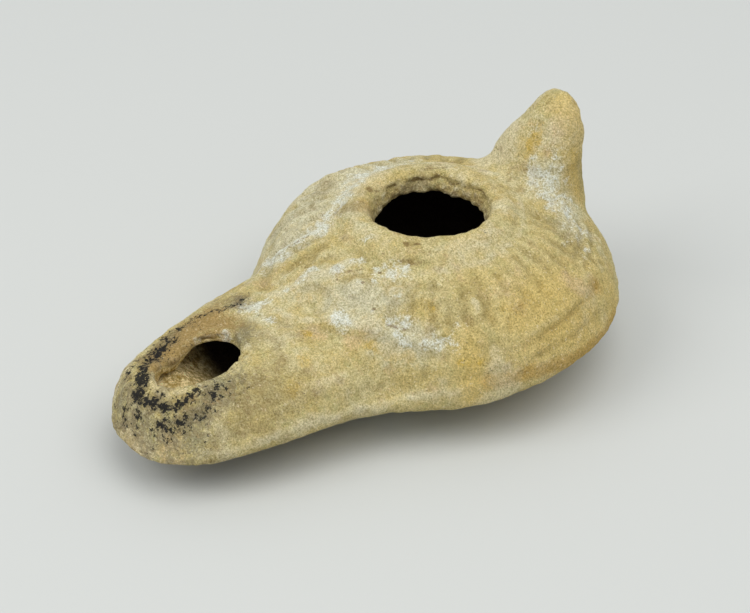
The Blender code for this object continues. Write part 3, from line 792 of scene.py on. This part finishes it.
keep_map("peach", patches(peach_spots))
keep_map("edge", np.maximum(edge_shade, patches(olive_spots)))

# %% [markdown]
# ## Dark marks and painted shade
# Dirt has stayed in a few holes and scratches. The short groove is painted darker, the crack is
# painted dark as a painted shadow under the lip, and the wall of the filling hole is painted darker as
# painted shade. They are drawn as thin lines and dots with the strokes' own helper.

# %% Dark marks and painted shade
dots = [(6.8, -5.0, 0.4), (11.8, -6.6, 0.4), (7.4, -1.7, 0.35), (3.8, -10.5, 0.4)]
mark_lines = [
    (0.4, 0.6, [(2.6, -7.5), (2.9, -5.1), (4.5, -3.2)]),
    (0.4, 0.6, [(15.1, -6.4), (16.6, -5.6), (18.4, -4.4)]),
    (0.4, 0.6, [(-14.4, -8.9), (-12.6, -6.4), (-10.9, -3.8)]),
    (0.4, 0.6, [(-10.5, 18.0), (-9.6, 22.0), (-7.0, 25.4)]),
    (0.3, 1.0, [(6.5, 4.2), (7.5, 4.3)]),
    (0.3, 1.0, [(7.0, 5.0), (8.0, 5.1)]),
    (0.3, 1.0, [(7.7, 5.6), (8.7, 5.8)]),
]
dirt_and_shade_marks = 0.55 * near_arc * bump(plan_r - INNER_GROOVE, 0.8) * on_top
for x, y, radius in dots:
    dirt_and_shade_marks = np.maximum(dirt_and_shade_marks, bump(plan_gap(base, (x, y)), radius) * on_top)
for width, strength, line in mark_lines:
    dirt_and_shade_marks = np.maximum(dirt_and_shade_marks, strength * bump(along_line(line)[0], width) * on_top)
# Painted shade on the wall inside the filling hole.
hole_wall_shade = (plan_r < FILL_RADIUS + 1.2) * (base_z > 22.0) * (1.0 - smooth_step(26.5, 29.0, base_z))
dirt_and_shade_marks = np.maximum(dirt_and_shade_marks, 0.55 * hole_wall_shade)
# The crack is painted dark as a painted shadow under the lip.
dirt_and_shade_marks = np.maximum(dirt_and_shade_marks, crack)
keep_map("mark_and_shade", dirt_and_shade_marks)

# %% [markdown]
# ## Inside and painted shade
# Three more maps don't come from drawn places. One tells the inside from the outside, one tells the
# channel by the wick from the oil chamber, and one reads the relief itself: what was pressed in is
# painted darker as painted shade, and what stands out is painted paler as a painted highlight.

# %% Maps from the shape
keep_map("inside", 1.0 - outside)
keep_map("by_wick", 1.0 - smooth_step(-29.0, -24.0, base[:, 1]))
# Painted shade and highlight: sunk relief gets a higher value, raised relief a lower one.
keep_map("relief_shade_and_highlight", np.clip(0.5 - relief * 0.8, 0.0, 1.0))

# %% [markdown]
# ## Helpers for the clay's material
# Everything is one material, as on the real lamp. Its nodes are small and many, so short functions
# add them: one for noise, one for sums, one for a soft ramp, one that reads a map, one that mixes
# two colours. All noise runs on Object coordinates, so it stays put on the clay.


# %% Nodes of the material
def linear(red, green, blue):
    """Colour of 0 to 255 as light."""
    result = []
    for part in (red, green, blue):
        share = part / 255.0
        result.append(share / 12.92 if share <= 0.04045 else ((share + 0.055) / 1.055) ** 2.4)
    return (*result, 1.0)


clay = bpy.data.materials.new("weathered_clay")
clay.use_nodes = True
clay_nodes = clay.node_tree.nodes
links = clay.node_tree.links
shader = clay_nodes["Principled BSDF"]
place_node = clay_nodes.new("ShaderNodeTexCoord")


def feed(socket, value):
    """Sets a socket to a number or a colour, or links it to another node's output."""
    if isinstance(value, (int, float, tuple)):
        socket.default_value = value
    else:
        links.new(value, socket)


def noise_node(size_mm, detail, roughness=0.6):
    node = clay_nodes.new("ShaderNodeTexNoise")
    node.inputs["Scale"].default_value = 1000.0 / size_mm
    node.inputs["Detail"].default_value = detail
    node.inputs["Roughness"].default_value = roughness
    links.new(place_node.outputs["Object"], node.inputs["Vector"])
    return node.outputs["Fac"]


def math_node(operation, first, second):
    node = clay_nodes.new("ShaderNodeMath")
    node.operation = operation
    feed(node.inputs[0], first)
    feed(node.inputs[1], second)
    return node.outputs[0]


def ramp(value, low, high):
    """0 at low, 1 at high. With low above high it runs the other way."""
    node = clay_nodes.new("ShaderNodeMapRange")
    node.interpolation_type = "SMOOTHSTEP"
    node.inputs["From Min"].default_value = low
    node.inputs["From Max"].default_value = high
    links.new(value, node.inputs["Value"])
    return node.outputs["Result"]


def map_value(name):
    node = clay_nodes.new("ShaderNodeAttribute")
    node.attribute_name = name
    return node.outputs["Fac"]


MIX_AMOUNT = 0
MIX_UNDER = 6
MIX_OVER = 7
MIX_RESULT = 2


def mix(amount, under, over):
    """One colour over another. The sockets of a colour mix are found by number."""
    node = clay_nodes.new("ShaderNodeMix")
    node.data_type = "RGBA"
    feed(node.inputs[MIX_AMOUNT], amount)
    feed(node.inputs[MIX_UNDER], under)
    feed(node.inputs[MIX_OVER], over)
    return node.outputs[MIX_RESULT]


def vector_node(operation, *values):
    node = clay_nodes.new("ShaderNodeVectorMath")
    node.operation = operation
    for socket, value in zip(node.inputs, values):
        feed(socket, value)
    return node.outputs["Vector"]


def grained(colour_in, amount):
    """The colour made lighter or darker by grains, with the dark ones a little browner."""
    share = vector_node("MULTIPLY_ADD", (1.0, 1.08, 1.5), amount, (1.0, 1.0, 1.0))
    above_zero = vector_node("MAXIMUM", share, (0.05, 0.05, 0.05))
    return vector_node("MULTIPLY", colour_in, above_zero)


def stain(name, noise_value, push, low, high):
    """The map with its edge broken up by noise."""
    shift = math_node("MULTIPLY", math_node("SUBTRACT", noise_value, 0.5), push)
    return ramp(math_node("ADD", map_value(name), shift), low, high)


def lay(under, amount, strength, colour_over):
    """One more stain over the last."""
    return mix(math_node("MULTIPLY", amount, strength), under, linear(*colour_over))


# %% [markdown]
# ## The clay
# Each layer is laid over the last, the stains in the order in which the lamp got them: the bare clay
# with its softer tones, painted shade in the hollows and a painted highlight on the raised relief,
# earth, painted shade on the widest edge, lime, grime and scorching, loose specks, dark marks with
# painted shade on the wall of the filling hole, and the soot on top of all. The soot is laid twice,
# first as a smoky fringe and then as small black flakes.

# %% Colours of the clay
cloud_noise = noise_node(14.0, 6.0, 0.65)
coarse_noise = noise_node(5.0, 8.0, 0.72)
tone_noise = noise_node(3.6, 5.0, 0.7)
lime_noise = noise_node(2.4, 9.0, 0.78)
grain_noise = noise_node(1.1, 4.0, 0.7)
soot_noise = noise_node(0.95, 6.0, 0.75)
speck_noise = noise_node(0.5, 2.0, 0.6)
sand_noise = noise_node(0.3, 3.0, 0.7)
relief_shade_and_highlight = map_value("relief_shade_and_highlight")
colour = mix(ramp(coarse_noise, 0.38, 0.62), linear(203, 183, 119), linear(212, 198, 143))
colour = lay(colour, ramp(tone_noise, 0.54, 0.64), 0.5, (212, 184, 129))
colour = lay(colour, ramp(tone_noise, 0.46, 0.36), 0.5, (184, 176, 117))
# Painted shade in the hollows, then a painted highlight on the raised relief.
colour = lay(colour, ramp(relief_shade_and_highlight, 0.5, 0.85), 0.55, (160, 142, 88))
colour = lay(colour, ramp(relief_shade_and_highlight, 0.5, 0.25), 0.5, (226, 218, 186))
colour = lay(colour, stain("ochre", coarse_noise, 1.4, 0.25, 0.8), 0.7, (214, 186, 108))
# Painted shade in golden brown on the widest edge, with a few small spots of the same colour.
colour = lay(colour, stain("edge", coarse_noise, 1.6, 0.3, 0.9), 0.7, (182, 146, 70))
colour = lay(colour, stain("peach", tone_noise, 1.8, 0.3, 0.9), 0.5, (218, 190, 144))
colour = lay(colour, stain("gold", grain_noise, 1.4, 0.3, 0.7), 0.8, (198, 166, 72))
colour = lay(colour, ramp(cloud_noise, 0.52, 0.66), 0.35, (222, 216, 184))
colour = lay(colour, stain("haze", coarse_noise, 1.6, 0.2, 1.0), 0.6, (214, 211, 184))
colour = lay(colour, stain("lime", lime_noise, 2.8, 0.5, 0.95), 0.75, (226, 228, 214))
colour = lay(colour, stain("grime", tone_noise, 2.4, 0.3, 1.0), 0.6, (146, 129, 84))
colour = lay(colour, stain("grey", grain_noise, 2.2, 0.35, 0.95), 0.7, (124, 118, 92))
colour = lay(colour, stain("brown", grain_noise, 1.6, 0.25, 0.85), 0.8, (168, 138, 84))
colour = lay(colour, stain("cream", grain_noise, 0.8, 0.35, 0.65), 0.85, (216, 200, 150))
colour = lay(colour, ramp(speck_noise, 0.6, 0.72), 0.5, (236, 224, 186))
colour = lay(colour, ramp(speck_noise, 0.4, 0.26), 0.35, (132, 106, 56))
# Dark marks: dirt in holes and scratches, and painted shade on the hole's wall and under the lip.
colour = lay(colour, stain("mark_and_shade", grain_noise, 1.6, 0.35, 0.75), 0.7, (112, 86, 42))
colour = lay(colour, stain("soot", tone_noise, 2.4, 0.2, 0.75), 0.45, (104, 94, 72))
colour = lay(colour, stain("soot", soot_noise, 3.4, 0.5, 0.68), 0.96, (24, 25, 27))
print("material nodes so far:", len(clay_nodes))

# %% [markdown]
# ## Inside, grain and surface
# Inside, the channel by the wick is painted a pale, grainy yellow as painted light, and the oil
# chamber is painted near black as painted shade. Then fine grains lighten and darken everything a
# little, as sand in the paste does. The same two noises feed a fine bump for what is too small to
# carve. Fired clay without a glaze hardly shines.

# %% Inside, grain and bump
CLAY_ROUGHNESS = 0.92
CLAY_SPECULAR = 0.25
GRAIN_DEPTH_M = 0.001
# Painted light: pale yellow inside by the wick; painted shade: near black in the oil chamber.
wick_channel_light = mix(ramp(grain_noise, 0.35, 0.65), linear(180, 150, 80), linear(252, 232, 174))
chamber_shade = linear(46, 36, 26)
colour = mix(map_value("inside"), colour, mix(map_value("by_wick"), chamber_shade, wick_channel_light))
grains = math_node("ADD", math_node("MULTIPLY", sand_noise, 2.2), math_node("MULTIPLY", grain_noise, 0.7))
grains = math_node("SUBTRACT", grains, 1.39)
links.new(grained(colour, grains), shader.inputs["Base Color"])
shader.inputs["Roughness"].default_value = CLAY_ROUGHNESS
shader.inputs["Specular IOR Level"].default_value = CLAY_SPECULAR

grain_part = math_node("MULTIPLY", grain_noise, 0.6)
sand_part = math_node("MULTIPLY", sand_noise, 0.5)
bump_height = math_node("ADD", grain_part, sand_part)
bump_node = clay_nodes.new("ShaderNodeBump")
bump_node.inputs["Strength"].default_value = 1.0
bump_node.inputs["Distance"].default_value = GRAIN_DEPTH_M
links.new(bump_height, bump_node.inputs["Height"])
links.new(bump_node.outputs["Normal"], shader.inputs["Normal"])
mesh.materials.append(clay)
print("material nodes:", len(clay_nodes))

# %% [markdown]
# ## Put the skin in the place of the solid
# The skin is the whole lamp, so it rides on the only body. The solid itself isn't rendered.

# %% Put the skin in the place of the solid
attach(lamp, "root")
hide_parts("clay_lamp")
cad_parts["clay_lamp"].hide_render = True
print("pieces:", lamp.name)

# %% [markdown]
# ## Floor
# A pale, even floor shows the lamp's soft shadow and hides nothing. It is one large square at the
# height that the foot stands on.

# %% Floor
FLOOR_HALF_M = 3.0
FLOOR_ROUGHNESS = 0.85
floor_mesh = bpy.data.meshes.new("floor")
floor_form = bmesh.new()
bmesh.ops.create_grid(floor_form, x_segments=1, y_segments=1, size=FLOOR_HALF_M)
floor_form.to_mesh(floor_mesh)
floor_form.free()
floor = bpy.data.objects.new("floor", floor_mesh)
bpy.context.scene.collection.objects.link(floor)
pale = bpy.data.materials.new("pale_floor")
pale.use_nodes = True
pale_shader = pale.node_tree.nodes["Principled BSDF"]
pale_shader.inputs["Base Color"].default_value = (0.57, 0.583, 0.573, 1.0)
pale_shader.inputs["Roughness"].default_value = FLOOR_ROUGHNESS
floor_mesh.materials.append(pale)
print("floor:", 2 * FLOOR_HALF_M, "m across")

# %% [markdown]
# ## Light
# Two broad, round lights and a pale room give the soft shadow with no hard edge. One light stands
# like a window in front of the nozzle and low enough to rake over the relief. The other hangs like
# a bright ceiling, a little to the near side. The room itself is darker at the horizon than
# overhead, so the low flanks fall into shade.


# %% Light
def area_light(name, place_m, size, power, light_colour):
    """A round light of the given size that faces the lamp."""
    data = bpy.data.lights.new(name, "AREA")
    data.shape = "DISK"
    data.size = size
    data.energy = power
    data.color = light_colour
    light = bpy.data.objects.new(name, data)
    light.location = place_m
    light.rotation_mode = "QUATERNION"
    light.rotation_quaternion = (-Vector(place_m)).to_track_quat("-Z", "Y")
    bpy.context.scene.collection.objects.link(light)


HORIZON_STRENGTH = 0.26
OVERHEAD_STRENGTH = 0.72
area_light("window", (-0.2, -0.7, 0.7), 0.7, 3.6, (1.0, 0.99, 0.95))
area_light("ceiling", (0.35, 0.1, 1.0), 1.1, 5.6, (1.0, 0.98, 0.93))
world = bpy.data.worlds.new("soft_room")
bpy.context.scene.world = world
world.use_nodes = True
room_nodes = world.node_tree.nodes
room_links = world.node_tree.links
room_nodes["Background"].inputs["Color"].default_value = (0.95, 0.98, 1.0, 1.0)
way_up = room_nodes.new("ShaderNodeTexCoord")
split = room_nodes.new("ShaderNodeSeparateXYZ")
brighter = room_nodes.new("ShaderNodeMapRange")
brighter.inputs["From Min"].default_value = 0.0
brighter.inputs["From Max"].default_value = 0.7
brighter.inputs["To Min"].default_value = HORIZON_STRENGTH
brighter.inputs["To Max"].default_value = OVERHEAD_STRENGTH
room_links.new(way_up.outputs["Generated"], split.inputs["Vector"])
room_links.new(split.outputs["Z"], brighter.inputs["Value"])
room_links.new(brighter.outputs["Result"], room_nodes["Background"].inputs["Strength"])
print("lights:", sorted(data.name for data in bpy.data.lights))

# %% [markdown]
# ## Camera
# A long lens from some distance keeps the lamp's proportions true. The camera looks down at the near
# side, with the nozzle to the left and the handle behind. The angles and the focal length were
# fitted to the lamp's outline and its two holes.

# %% Camera
AZIMUTH = math.radians(52.058)
HEIGHT_ANGLE = math.radians(35.411)
DISTANCE_M = 0.37524
AIM_M = Vector((-0.000243, 0.003085, 0.0125))
FOCAL_PIXELS = 2106.3
PICTURE_PIXELS = 750.0
SENSOR_MM = 36.0
camera_data = bpy.data.cameras.new("camera")
camera = bpy.data.objects.new("camera", camera_data)
bpy.context.scene.collection.objects.link(camera)
back_x = math.sin(AZIMUTH) * math.cos(HEIGHT_ANGLE)
back_y = -math.cos(AZIMUTH) * math.cos(HEIGHT_ANGLE)
back = Vector((back_x, back_y, math.sin(HEIGHT_ANGLE)))
camera.location = AIM_M + back * DISTANCE_M
camera.rotation_mode = "QUATERNION"
camera.rotation_quaternion = (-back).to_track_quat("-Z", "Y")
camera_data.sensor_width = SENSOR_MM
camera_data.lens = FOCAL_PIXELS * SENSOR_MM / PICTURE_PIXELS
camera_data.clip_start = 0.01
bpy.context.scene.camera = camera
bpy.context.scene.view_settings.view_transform = "Standard"
print("lens:", round(camera_data.lens, 1), "mm")
